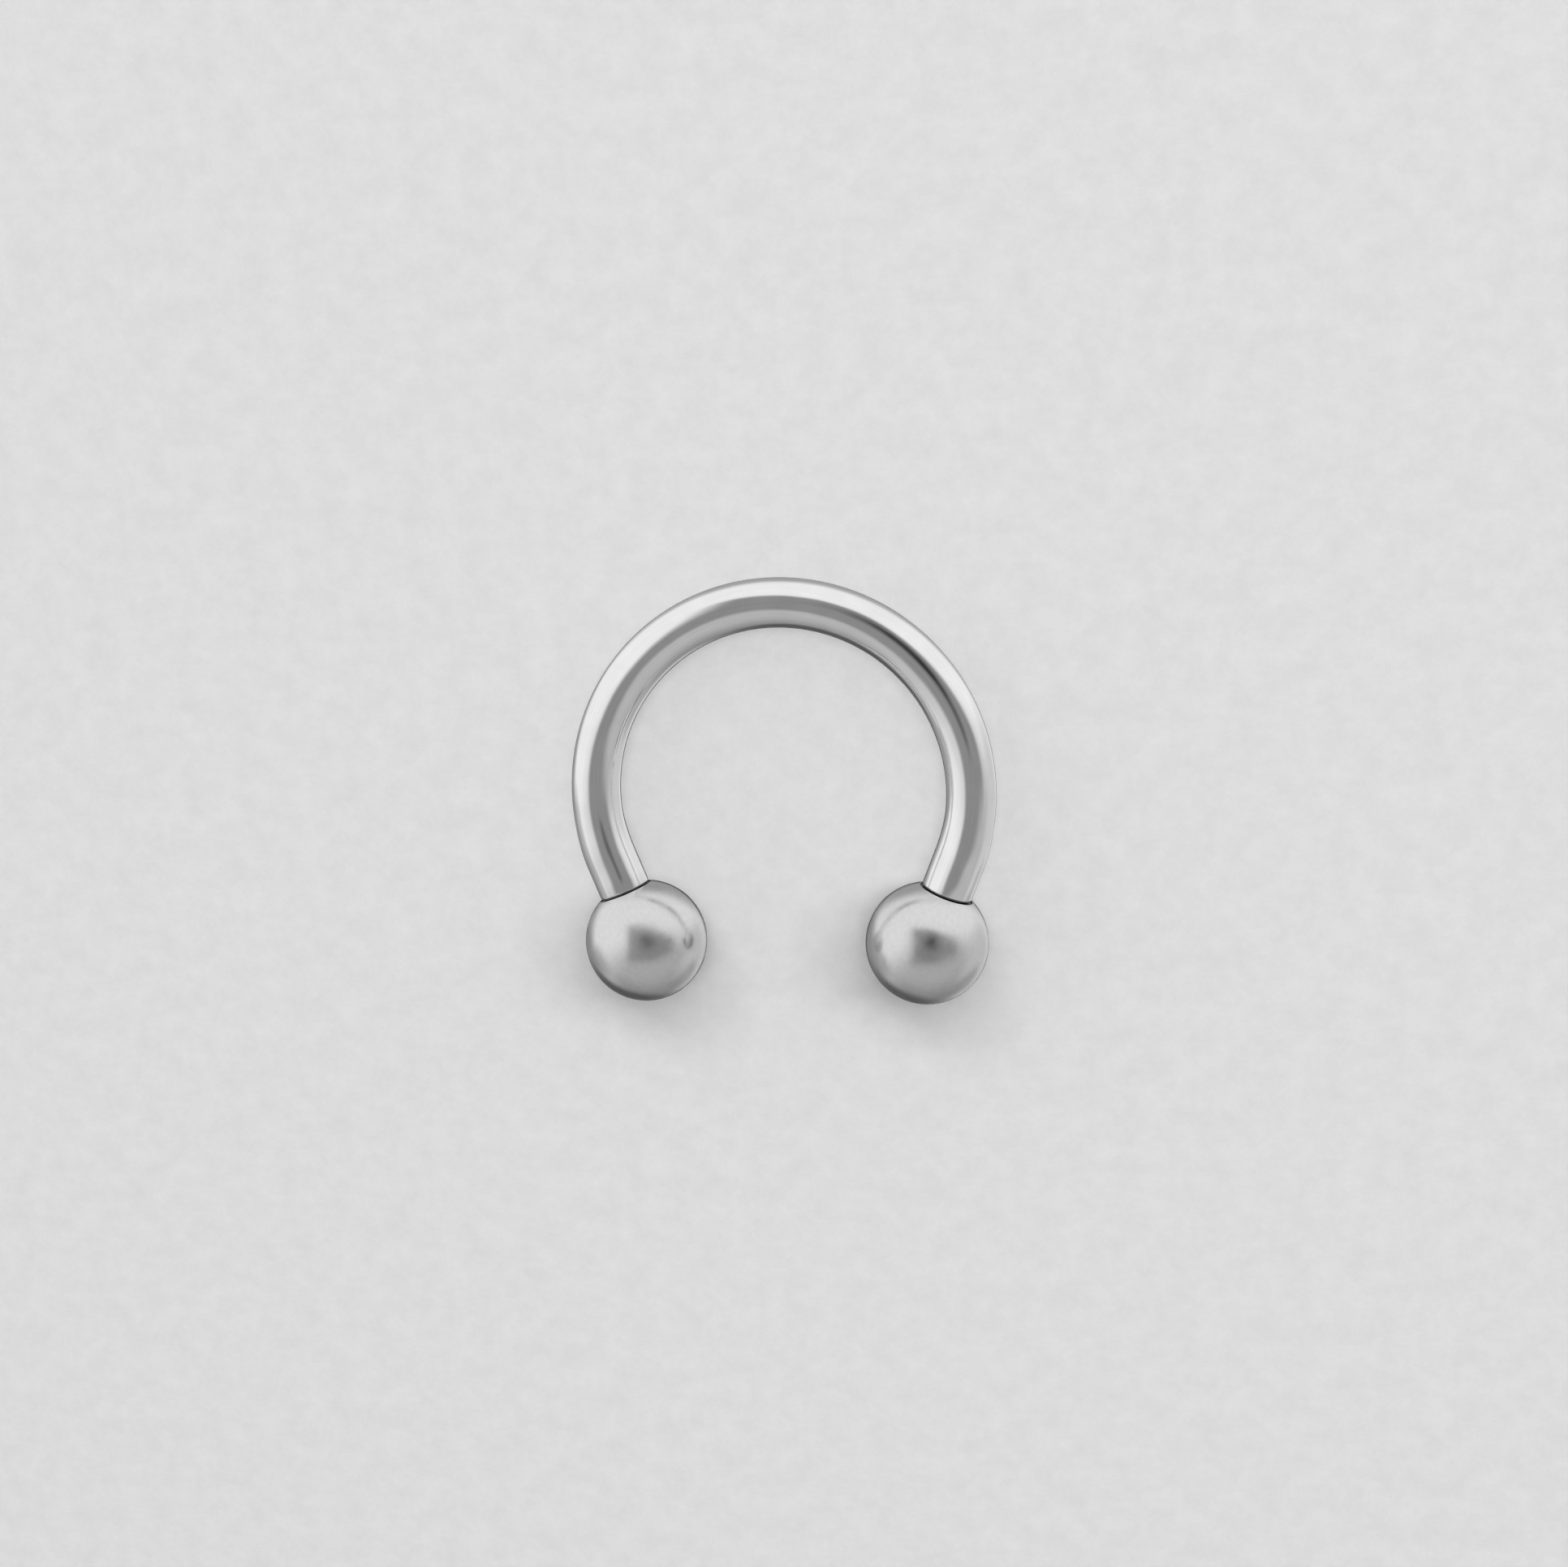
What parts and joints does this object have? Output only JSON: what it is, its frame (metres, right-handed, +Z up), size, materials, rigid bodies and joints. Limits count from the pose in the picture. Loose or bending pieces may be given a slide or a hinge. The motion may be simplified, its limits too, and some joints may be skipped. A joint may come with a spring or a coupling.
{
  "type": "circular barbell",
  "caption": "Horseshoe ring of polished steel wire with a screw-on ball on each end, worn in a piercing.",
  "frame": {"origin": "middle of the footprint, on the surface that the piece lies on", "axes": "+X runs through the two balls, +Y points to the top of the arch, +Z is up: the piece lies on its side"},
  "size_m": [0.0104, 0.0104, 0.003],
  "materials": {
    "polished_steel_wire": "mirror-polished surgical steel, bare, with faint draw lines along the wire",
    "polished_steel_ball": "tumble-polished surgical steel, bare, slightly softer than the wire"
  },
  "bodies": {
    "bar": {"horseshoe_bar": "polished_steel_wire"},
    "left_ball": {"ball_left": "polished_steel_ball"},
    "right_ball": {"ball_right": "polished_steel_ball"}
  },
  "joints": [
    {"name": "left_ball_off", "type": "slide", "parent": "bar", "child": "left_ball", "axis": [0.3649, -0.9256, 0.1006], "range_m": [0, 0.00275]},
    {"name": "right_ball_off", "type": "slide", "parent": "bar", "child": "right_ball", "axis": [-0.3649, -0.9256, 0.1006], "range_m": [0, 0.00275]}
  ]
}
